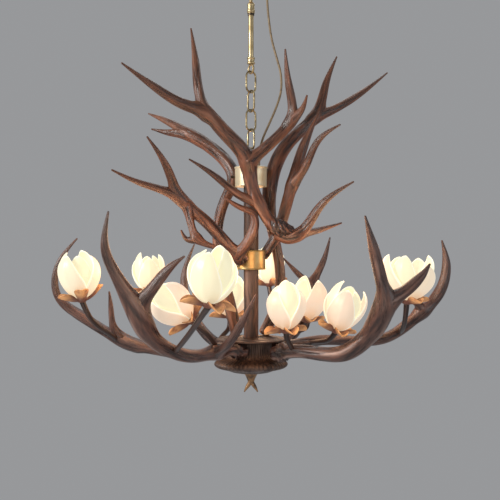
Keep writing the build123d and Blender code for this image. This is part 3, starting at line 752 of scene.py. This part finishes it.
# %% Carve the antlers
def carve(node, routes, finish, seed, blend):
    """One antler: all its limbs, webbed together, in one mesh."""
    limbs = [limb(to_frame(routes[0]), seed, burr=burrs.get(node))]
    limbs += [limb(to_frame(route), seed + 3 * k + 1, start_share=0.45) for k, route in enumerate(routes[1:])]
    piece = dress(mesh_piece(node + "_carved", web(limbs, blend)), finish, node, slot="antler_resin")
    print(node, len(piece.data.polygons), "faces")


for number, (name, routes) in enumerate(lower_antlers.items()):
    carve(f"lower_antler_{name}", routes, antler_finish, 11 * number + 5, 0.03)
for number, (name, routes) in enumerate(upper_antlers.items()):
    carve(f"upper_antler_{name}", routes, upper_finish, 13 * number + 80, 0.017)

# %% [markdown]
# ## Petals
#
# A flower's shade is six petals of opal glass on a small cup, three outer and three inner ones. A petal is a
# function of two parameters: v runs from its foot to its tip and u from edge to edge. Its outline in side
# view is a cubic curve, out and up from the foot, round the belly and in again. Its width is narrow at the
# foot and closes in a blunt point. The edges lie a little nearer the axis than the middle, so each petal
# bulges as a real magnolia's does. Flower 10 is the one that has opened widest.

# %% Flowers
shade_height = 0.098
shade_radius = 0.047
inner_inset = 0.0068
petal_thickness = 0.0022
petal_count = 6
calyx_height = 0.009
sepal_count = 4
sepal_length = 0.052
sepal_half_width = 0.0168
sepal_thickness = 0.0016
Flower = namedtuple("Flower", "number foot axis stem first_petal fullness cream sepal_rise")
flowers = [
    Flower(1, (-368, -56, -114), (-0.12, -0.05, 1), [(-352, -46, -150), (-322, -4, -186), (-306, 30, -206)],
           238, 1, 0.5, 0.02),
    Flower(2, (-262, 262, -118), (-0.05, 0, 1), [(-256, 254, -142), (-226, 232, -152), (-192, 213, -132)],
           275, 0.88, 0.8, 0.01),
    Flower(3, (-122, -134, -150), (-0.7, -0.1, 0.6), [(-104, -126, -166), (-86, -108, -186), (-70, -88, -214)],
           225, 1, 0.1, 0.01),
    Flower(4, (-78, -362, -104), (0.14, -0.06, 1), [(-94, -322, -126), (-124, -250, -168), (-156, -164, -208)],
           258, 1, 0.8, 0.002),
    Flower(5, (-52, 182, -172), (0.02, 0, 1), [(-54, 178, -190), (-66, 150, -206), (-80, 132, -222)],
           235, 1, 0.1, 0.01),
    Flower(6, (50, 376, -100), (0, 0.02, 1), [(54, 360, -130), (74, 280, -180), (106, 176, -200)],
           280, 1, 0.7, 0.01),
    Flower(7, (74, -112, -176), (-0.03, -0.04, 1), [(76, -110, -186), (82, -98, -200), (92, -80, -218)],
           222, 0.93, 0.1, -0.004),
    Flower(8, (138, 150, -178), (0.06, 0, 1), [(136, 150, -188), (120, 156, -198), (100, 160, -210)],
           290, 1, 0.1, 0.01),
    Flower(9, (182, -70, -180), (0.32, -0.12, 1), [(172, -56, -194), (152, -22, -204), (136, 22, -212)],
           252, 1, 0.1, 0.01),
    Flower(10, (338, -62, -118), (0.1, -0.04, 1), [(338, -50, -146), (340, -10, -176), (344, 46, -190)],
           306, 1.04, 0.3, 0.006),
]


# %% Petal
def cubic(ends, v):
    """The cubic curve of four controls: (1-v)^3 a + 3 (1-v)^2 v b + 3 (1-v) v^2 c + v^3 d."""
    a, b, c, d = ends
    return (1 - v) ** 3 * a + 3 * (1 - v) ** 2 * v * b + 3 * (1 - v) * v ** 2 * c + v ** 3 * d


def leaf_grid(rows, columns):
    """The parameters v, a column from 0 to 1, and u, a row from -1 to 1."""
    return np.linspace(0, 1, rows)[:, None], np.linspace(-1, 1, columns)[None, :]


def petal(turn, ring, opening, growth, breadth, fullness, cream):
    """Radius, angle and height as functions of v, from foot to tip, and u, from edge to edge.

    reach = cubic(v) * fullness, less for the inner ring, and angle = turn + u * half_width / reach.
    radius = reach, less towards the edges, with a crease along the middle and a curl at the tip.
    height = cubic(v) * growth. half_width swells to the belly and closes in a blunt point:
    breadth * R * (0.3 + 0.7 sin(pi/2 min(1, 2 v))) * (1 - v^(1.9 + ring / 2))^0.8.
    """
    v, u = leaf_grid(34, 25)
    bulge = np.sin(math.pi * v)
    swell = 0.3 + 0.7 * np.sin(math.pi / 2 * np.clip(2 * v, 0, 1))
    half_width = (breadth - 0.12 * opening) * shade_radius * swell * (1 - v ** (1.9 + 0.5 * ring)) ** 0.8
    tip_reach = 0.56 - 0.12 * ring + 0.9 * opening
    reach = cubic((0.24, 0.84 + 0.2 * opening, 1.33 + 0.5 * opening, tip_reach), v) * shade_radius * fullness
    reach = reach - ring * inner_inset * np.sin(math.pi / 2 * np.clip(2.5 * v, 0, 1))
    edge = u ** 2 * bulge * shade_radius * (0.04 + 0.05 * ring)
    tuck = u * shade_radius * 0.022 * np.sin(math.pi * np.clip(v * 1.2, 0, 1))
    crease = 0.0013 * np.exp(-((u / 0.14) ** 2)) * bulge
    curl = 0.05 * shade_radius * v ** 6 * (1 - 0.5 * u ** 2)
    angle = turn + u * half_width / np.maximum(reach, 0.3 * shade_radius)
    height = cubic((0.02, 0.16, 0.76, 1.0), v) * shade_height * growth
    rim = np.maximum(np.abs(u) ** 4, v ** 9)[..., None]
    return {
        "points": polar(reach - edge + tuck + crease + curl, angle, height),
        "rise": (v + 0 * u)[..., None],
        "rim": rim,
        "layer": np.full_like(rim, max(ring, cream)),
    }


def set_on(flower, grid, lift=0):
    """The grid's points turned and moved from the flower's own axes to the frame."""
    axis = np.array(flower.axis) / np.linalg.norm(flower.axis)
    first = np.array([1.0, 0, 0]) - axis[0] * axis
    first /= np.linalg.norm(first)
    axes = np.stack([first, np.cross(axis, first), axis])
    return {**grid, "points": (grid["points"] + [0, 0, lift]) @ axes + to_frame([flower.foot])[0]}


def sheet(name, grids, thickness):
    """A mesh of open leaves with an even thickness."""
    piece = mesh_piece(name, grids, around=False)
    modifier = piece.modifiers.new("thickness", "SOLIDIFY")
    modifier.thickness = thickness
    modifier.offset = 0
    return piece


# %% Blow the shades
for flower in flowers:
    opened = flower.number == 10
    opening = 0.5 if opened else 0.05 * (flower.number % 3)
    petals = []
    for k in range(petal_count):
        ring = k % 2
        chance = math.sin(2.3 * k + 1.7 * flower.number)
        wander = 9 * math.sin(4.1 * k + flower.number)
        turn = math.radians(flower.first_petal) + math.radians(360 / petal_count * k + wander)
        growth = 0.91 + 0.09 * ring + 0.07 * chance
        breadth = (1.02 if opened else 0.92) - 0.06 * ring + 0.06 * chance
        grid = petal(turn, ring, opening + 0.05 * chance, growth, breadth, flower.fullness, flower.cream)
        petals.append(set_on(flower, grid, calyx_height))
    shade = sheet(f"petals_{flower.number}", petals, petal_thickness)
    dress(shade, petal_finish, f"flower_shade_{flower.number}", slot="opal_glass")
print("shades:", len(flowers))

# %% [markdown]
# ## Sepals, stems, holders and bulbs
#
# Under each flower lies a collar with four brown sepals, nearly flat and cupped like spoons. A sepal is again
# a function of two parameters: v from the collar to its point, u across it. The stems are tubes from the
# flower down to the antler that carries it.


# %% Sepals
def sepal(turn, rise):
    """Reach is 0.2 to 1 of its length; width closes in a point; the edges curl up, the point by rise."""
    v, u = leaf_grid(18, 13)
    reach = (0.2 + 0.8 * v) * sepal_length
    swell = 0.4 + 0.6 * np.sin(math.pi * np.clip(v * 1.15, 0, 1) * 0.62)
    side = u * (sepal_half_width * swell * np.sqrt(1 - v ** 3))
    cupping = 0.013 * u ** 2 * np.sin(math.pi * v) ** 0.7
    height = 0.004 + rise * v ** 1.5 + cupping - 0.0012 * np.exp(-((u / 0.15) ** 2))
    x = reach * math.cos(turn) - side * math.sin(turn)
    y = reach * math.sin(turn) + side * math.cos(turn)
    return {"points": np.stack([x, y, height], axis=2), "rise": (v + 0 * u)[..., None]}


collar_outline = np.array(above(0, (7, 0), (8.8, 0.8), (10.5, 3), (13.8, 6.5), (15.2, 8.8), (12, 9.2)))
collar_points = polar(collar_outline[:, :1], circle(28), collar_outline[:, 1:])
collar = {"points": collar_points, "rise": np.zeros(collar_points.shape[:2] + (1,))}
sepals = []
for flower in flowers:
    for k in range(sepal_count):
        turn = math.radians(22 + 360 / sepal_count * k) + 0.25 * math.sin(3 * k + flower.number)
        rise = flower.sepal_rise + 0.007 * math.sin(2 * k + 1.3 * flower.number)
        sepals.append(set_on(flower, sepal(turn, rise)))
dress(sheet("sepals", sepals, sepal_thickness), leaf_finish, "calyxes", slot="bark_paint")
collars = mesh_piece("collars", [set_on(flower, collar) for flower in flowers])
dress(collars, leaf_finish, body="lamp", slot="bark_paint")

# %% Stems
for flower in flowers:
    top = np.array(flower.foot) + 2 * np.array(flower.axis) / np.linalg.norm(flower.axis)
    knots = to_frame([top] + flower.stem)
    radius = np.array([6.5, 5.5, 5.5, 5.5]) * MM
    route = np.concatenate([knots, radius[:, None]], axis=1)
    surface = limb(route, 31 + flower.number, sides=18, depth=0.05)[0]
    stem = mesh_piece(f"stem_{flower.number}", [surface])
    dress(stem, stem_finish, f"flower_stem_{flower.number}", slot="bark_paint")
print("stems:", len(flowers))


# %% Lathe
def turned(outline, columns=48, fillet=0.0012, flutes=0, flute_depth=0.0):
    """A lathe piece: each corner of the (radius, height) outline becomes a small curve, then it is spun.

    The curve at a corner is (1-t)^2 a + 2 (1-t) t corner + t^2 b, with a and b on the two edges. Flutes take
    flute_depth * (1 - |sin(flutes * angle / 2)|) from the radius, in proportion to the radius.
    """
    outline = np.array(outline, dtype=float)
    edges = np.diff(outline, axis=0)
    lengths = np.linalg.norm(edges, axis=1)
    t = np.linspace(0, 1, 5)[None, :, None]
    cut = np.minimum(fillet, 0.45 * np.minimum(lengths[:-1], lengths[1:]))[:, None]
    before = outline[1:-1] - edges[:-1] / lengths[:-1, None] * cut
    after = outline[1:-1] + edges[1:] / lengths[1:, None] * cut
    curves = (1 - t) ** 2 * before[:, None] + 2 * (1 - t) * t * outline[1:-1, None] + t ** 2 * after[:, None]
    table = np.concatenate([outline[:1], curves.reshape(-1, 2), outline[-1:]])
    angle = circle(columns)
    radius = table[:, :1]
    if flutes:
        radius = radius - flute_depth * (radius / radius.max()) * (1 - np.abs(np.sin(flutes * angle / 2)))
    return {"points": polar(radius, angle, table[:, 1:])}


# %% Holders and bulbs
holder = turned(above(0, (0, 0), (9, 0), (9, 24), (0, 24)))
bulb = turned(above(0, (0, 24), (6, 24), (6.8, 30), (8.2, 40), (7.4, 50), (4, 56.5), (0, 58)), fillet=0.003)
for name, shape, finish, node, slot in [
    ("holder_sleeves", holder, holder_finish, "lamp_holders", "holder_white"),
    ("candle_bulbs", bulb, bulb_finish, "bulbs", "bulb_glass"),
]:
    pieces = mesh_piece(name, [set_on(flower, shape, calyx_height) for flower in flowers])
    dress(pieces, finish, node, slot=slot)
print("holders and bulbs:", len(flowers))

# %% [markdown]
# ## Chain, rings and rod
#
# A link is a wire bent to a loop: two half circles and two straight sides. A point at a distance s along it
# has a centre on that loop and a round section across it. A bead on a straight side is the weld.


# %% Wire loops
def wire_loop(length, width, wire, yaw, height, weld=0.0, rows=96, columns=20):
    """A round wire along a stadium of the given outside size in the upright plane at yaw, about a height."""
    bend = (width - wire) / 2
    straight = length - width
    arc = math.pi * bend
    s = np.linspace(0, 2 * (straight + arc), rows, endpoint=False)
    turn = np.clip((s - straight) / bend, 0, math.pi) + np.clip((s - 2 * straight - arc) / bend, 0, math.pi)
    rise = np.clip(s, 0, straight) - np.clip(s - straight - arc, 0, straight) - straight / 2
    away = np.stack([np.cos(turn), np.sin(turn)], axis=1)
    centre = away * bend
    centre[:, 1] += rise
    thick = (wire / 2 * (1 + weld * np.exp(-(((s - straight / 2) / 0.002) ** 2))))[:, None]
    angle = circle(columns)
    flat = centre[:, None] + (thick * np.cos(angle))[..., None] * away[:, None]
    off = -thick * np.sin(angle)
    x = flat[..., 0] * math.cos(yaw) - off * math.sin(yaw)
    y = flat[..., 0] * math.sin(yaw) + off * math.cos(yaw)
    return {"points": np.stack([x, y, flat[..., 1] + height], axis=2)}


link_length = 0.052
link_width = 0.029
link_wire = 0.0042
link_weld = 0.13
ring_width = 0.024
ring_wire = 0.0044
chain_yaw = math.radians(34)
crosswise = chain_yaw + math.pi / 2
for number in (1, 2, 3, 4):
    foot, top = levels(f"chain_link_{number}")
    loop = wire_loop(link_length, link_width, link_wire, chain_yaw if number % 2 else crosswise,
                     (foot + top) / 2, weld=link_weld)
    link = mesh_piece(f"link_{number}", [loop], along=True)
    dress(link, chain_finish, f"chain_link_{number}", slot="antique_brass")
for name, node, at_top, yaw in [
    ("canopy_ring", "canopy_loop", False, chain_yaw),
    ("bell_ring", "rod_top_bell", True, crosswise),
    ("ferrule_ring", "rod_bottom_ferrule", False, crosswise),
    ("lamp_ring", "top_loop", True, chain_yaw),
]:
    foot, top = levels(node)
    middle = top - ring_width / 2 if at_top else foot + ring_width / 2
    loop = wire_loop(ring_width, ring_width, ring_wire, yaw, middle, rows=64)
    dress(mesh_piece(name, [loop], along=True), brass_finish, body=body_of_node[node], slot="antique_brass")
print("rings: 4, links: 4")


# %% Turned fittings
def spun(name, outline, material, *nodes, slot="antique_brass", centre=0.0, body=None, looped=False, **cut):
    """A turned piece about an upright axis at x = centre. A looped outline closes on itself, as a ring's."""
    points = turned(outline, **cut)["points"] + [centre, 0, 0]
    dress(mesh_piece(name, [{"points": points}], along=looped), material, *nodes, slot=slot, body=body)


canopy_low = levels("canopy")[0]
collar_outline = above(0, (0, -4), (5, -4)) + above(
    canopy_low, (5, 0), (9.5, 0), (9.5, -3), (8, -4.5), (9, -6), (6, -8), (0, -8))
spun("canopy_collar", collar_outline, brass_finish, "canopy_loop", fillet=0.0008)
bell_foot, bell_top = levels("rod_top_bell")
bell_outline = above(bell_top - ring_width, (0, 1.2), (4, 1.2), (4, -3.4), (6.6, -4.6), (8.4, -7.8),
                     (8.5, -10.5), (7.9, -11.5)) + above(
    bell_foot, (8.3, 12.5), (9, 11.5), (9, 8.5), (8, 7.5), (8.6, 6.5), (8.6, 4.8), (6, 4.5), (6, 8), (0, 8))
spun("bell", bell_outline, brass_finish, "rod_top_bell", fillet=0.0009)
# A dark ring under the bell stands in for the shadow line between bell and rod: painted shade.
shadow_ring_outline = above(bell_foot, (5.8, 5.2), (7.4, 5.2), (7.4, 0), (5.8, 0))
spun("bell_shadow_ring", shadow_ring_outline, screw_finish, "rod_top_bell", fillet=0.0006, looped=True)
rod_foot, rod_top = levels("suspension_rod")
rod_outline = above(rod_top, (0, 0), (6, 0)) + above(rod_foot, (6, 0), (0, 0))
spun("rod_tube", rod_outline, brass_finish, "suspension_rod")
ferrule_foot, ferrule_top = levels("rod_bottom_ferrule")
ferrule_outline = above(ferrule_top, (0, -8), (6, -8), (6, 0), (8.8, 0), (9, -3), (7.8, -4.2)) + above(
    ferrule_foot + ring_width, (7.8, 3.3), (9, 2.3), (8.5, -1.2), (0, -1.2))
spun("ferrule", ferrule_outline, brass_finish, "rod_bottom_ferrule", fillet=0.0008)
print("bell, rod and ferrule turned")

# %% [markdown]
# ## Drums, column, hub and finial
#
# The two drums are brass cans with rolled rims. The column between them is dressed as a ridged trunk. The hub
# is a fluted bell of dark bronze with a scalloped rim, and the finial under it ends in a small fork.

# %% Drums
drum_foot, drum_top = levels("upper_drum")
upper_outline = above(drum_top, (0, 0), (36, 0), (37.6, -1), (37.8, -3), (36.2, -4.5)) + above(
    drum_foot, (35.8, 3), (36.4, 1.5), (35.8, 0), (17.5, 0), (17.5, 20), (0, 20))
spun("upper_can", upper_outline, pale_finish, "upper_drum", columns=96, fillet=0.001)
low, high = levels("lower_drum")
lower_outline = above(high, (17.5, 0), (32.2, 0), (33, -2), (32.2, -3.5)) + above(
    low, (32.2, 3.5), (33, 2), (32.2, 0), (17.5, 0))
spun("lower_can", lower_outline, olive_finish, "lower_drum", columns=96, fillet=0.001, looped=True)
stud_outline = above(drum_top, (0, 0), (12, 0), (12, 3), (9.5, 5), (5.5, 6), (4.3, 10)) + above(
    levels("top_loop")[1] - ring_width, (4.5, 1.2), (0, 1.2))
spun("loop_stud", stud_outline, brass_finish, "top_loop", fillet=0.001)


# %% Column
column_radius = 0.0172


def trunk_skin(low, high, radius, rows=90, columns=72):
    """A tube whose radius is ridged by wandering gutters."""
    height = np.linspace(high, low, rows)[:, None]
    depth = high - height
    angle = circle(columns)
    crest = gutters(depth, angle, 0.3 * depth / (high - low), 4, count=9)
    points = polar(radius * (1 + 0.07 * crest) - 0.0006, angle, height)
    return {"points": points, "grain": polar(radius, angle, grain_along * depth), "crest": crest[..., None]}


trunk = mesh_piece("column_trunk", [trunk_skin(*levels("column_tube"), column_radius)])
dress(trunk, bark_finish, "column_tube", slot="antique_brass")

# %% Hub
low, high = levels("hub_cover_plate")
plate_outline = above(high, (17.5, 0), (60, 0), (62, -1.2), (75, -1.2), (78, -2.5)) + above(
    low, (78, 1), (75, 0), (17.5, 0))
spun("cover_plate", plate_outline, bronze_finish, "hub_cover_plate", columns=120, looped=True)
low, high = levels("hub_body")
hub_outline = above(high, (0, 0), (46, 0), (47, -12), (49, -28), (56, -39), (77, -45.5), (82.5, -50.5),
                    (83, -55), (78, -60), (58, -65), (42, -71)) + above(low, (30, 0), (0, 0))
spun("fluted_hub", hub_outline, bronze_finish, "hub_body", slot="bronzed_resin", columns=520, fillet=0.006,
     flutes=52, flute_depth=0.0026)

# %% Finial
finial_top = levels("finial")[1]
waist_outline = above(finial_top, (0, 0), (16.5, 0), (15.5, -3), (13, -7), (10, -13), (8, -18), (7, -22),
                      (0, -24))
spun("finial_waist", waist_outline, finial_finish, "finial", slot="bronzed_resin", fillet=0.003)
fork = []
for side in (-1, 1):
    knots = np.array([(-2, 0, -14, 5.6), (2.5, 0, -24, 5.2), (8.5, 0, -33, 4.2), (14.5, 0, -43.5, 1.4)]) * MM
    knots *= [side, 1, 1, 1]
    knots += [0, 0, finial_top, 0]
    surface = limb(knots, 60 + side, sides=16, spacing=0.001, depth=0.05)[0]
    fork.append({"points": surface["points"]})
dress(mesh_piece("finial_fork", fork), finial_finish, body="lamp", slot="bronzed_resin")
print("hub and finial done")

# %% [markdown]
# ## Canopy, bracket, cord grip and screws
#
# These lie above the photograph's edge, so they follow what such a lamp has: a spun cone over a flat bracket,
# and a small plastic grip with a ribbed sleeve where the cord leaves it. Two dark screws stand on the drums.

# %% Canopy and bracket
cone_outline = above(0, (60.6, -0.3), (62, -0.3), (62, -7), (58.5, -11.5)) + above(
    canopy_low, (44, 0), (5.2, 0), (5.2, 1.5), (42.5, 1.5)) + above(0, (57, -11.5), (60.5, -7))
spun("canopy_cone", cone_outline, brass_finish, "canopy", columns=128, looped=True)
bracket = frame["nodes"]["ceiling_bracket"]
bracket.data.materials.clear()
bracket.data.materials.append(zinc_finish)

# %% Cord grip
grip_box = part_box("cord_grip")
grip_x = (grip_box[0][0] + grip_box[1][0]) / 2
grip_low, grip_high = levels("cord_grip")
nut_outline = above(grip_high, (2.6, 0), (4, 0)) + above(canopy_low, (4, 0), (6, 0), (6, -3)) + above(
    grip_low, (4.8, 0), (2.6, 0))
spun("grip_nut", nut_outline, grip_finish, "cord_grip", slot="grip_black", centre=grip_x, fillet=0.0006,
     columns=36, looped=True)
ribs = [(4.6 - 0.055 * rib - step, -1 - rib - 2 * step)
        for rib in (0, 3.6, 7.2, 10.8, 14.4) for step in (0, 0.5)]
sleeve_outline = above(grip_low, (2.7, 0), (4.8, 0), *ribs, (3.3, -21), (3, -21))
spun("cord_sleeve", sleeve_outline, grip_finish, body="ceiling", slot="grip_black", centre=grip_x,
     fillet=0.0004, columns=36, looped=True)


# %% Screws
def thumb_screw(start, side, y, z):
    """A knurled screw along X, from its start to that side: a turned outline with 24 fine ridges."""
    outline = above(0, (0, 0), (1.8, 0), (1.8, 3), (2.9, 3.5), (2.9, 8.5), (2.2, 9), (0, 9))
    points = turned(outline, fillet=0.0004, flutes=24, flute_depth=0.0003)["points"]
    across, up, along = np.moveaxis(points, 2, 0)
    return {"points": np.stack([start + side * along, y + side * across, z + up], axis=2)}


screw_length = 0.009
low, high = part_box("drum_knobs")
screws = [thumb_screw(low[0] + screw_length, -1, 0, (drum_foot + drum_top) / 2),
          thumb_screw(high[0] - screw_length, 1, -0.006, low[2] + 0.003)]
dress(mesh_piece("thumb_screws", screws), screw_finish, "drum_knobs", slot="dark_screw")
print("canopy and small parts done")

# %% [markdown]
# ## The supply cord
#
# The cord comes out of the grip beside the canopy, bows out past the rod and the chain, and ends on the upper
# drum's lid. Its line is a smooth spline with the construction's route points as its controls. When the
# lamp swings, each stretch of cord hangs between two neighbours of the chain, so the tube is cut at heights
# where it follows one body alone, halfway between the pivots, and every stretch spans one joint.

# %% Cord line
cord_diameter = 0.005
canopy_exit = (grip_x, 0.0, grip_low)
cord_foot = (0.018, 0.0, drum_top)
cord_bends = [(36, 0, 562), (40, 2, 519), (46, 2, 476), (57, 1, 436), (68, 0, 398), (69, -1, 358),
              (57, -2, 320), (41, -2, 284), (26, -1, 251), (18, 0, 220)]
controls = np.concatenate([[canopy_exit], to_frame(cord_bends), [cord_foot]])
curve = bpy.data.curves.new("cord_line", "CURVE")
curve.dimensions = "3D"
curve.resolution_u = 24
spline = curve.splines.new("NURBS")
spline.points.add(len(controls) - 1)
spline.points.foreach_set("co", np.concatenate([controls, np.ones((len(controls), 1))], axis=1).ravel())
spline.order_u = 3
spline.use_endpoint_u = True
line_object = new_object("cord_line", curve)
sampled = bpy.data.meshes.new_from_object(line_object)
cord_points = np.zeros(len(sampled.vertices) * 3)
sampled.vertices.foreach_get("co", cord_points)
cord_points = cord_points.reshape(-1, 3)
bpy.data.objects.remove(line_object)
bpy.data.meshes.remove(sampled)
bpy.data.curves.remove(curve)


def run_length(line):
    """The length along a row of points."""
    return float(np.linalg.norm(np.diff(line, axis=0), axis=1).sum())


print("cord length:", round(run_length(cord_points), 4))

# %% Cord stretches
# The line lies almost in the XZ plane, so the Y axis steadies its rings.
_, side, other = ring_axes(cord_points, np.array([0.0, 1.0, 0.0]))
angle = circle(16)[..., None]
outward = np.cos(angle) * side[:, None] + np.sin(angle) * other[:, None]
rings = cord_points[:, None] + cord_diameter / 2 * outward
joints = {joint["name"]: joint for joint in frame["joints"]}
order = ["rod_swing", "link_1_swing", "link_2_swing", "link_3_swing", "link_4_swing", "lamp_swing"]
pivots = [joints[name]["pos_m"][2] for name in order]
heights = cord_points[:, 2]
cuts = [heights[0]] + [(a + b) / 2 for a, b in zip(pivots, pivots[1:])] + [heights[-1]]
ends = [int(np.argmin(np.abs(heights - cut))) for cut in cuts]
for number, (name, first, last) in enumerate(zip(order, ends, ends[1:]), start=1):
    piece = mesh_piece(f"cord_{number}", [{"points": rings[first:last + 1]}], closed=number in (1, 6))
    piece.data.materials.append(cord_finish)
    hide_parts("supply_cord")
    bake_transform(piece)
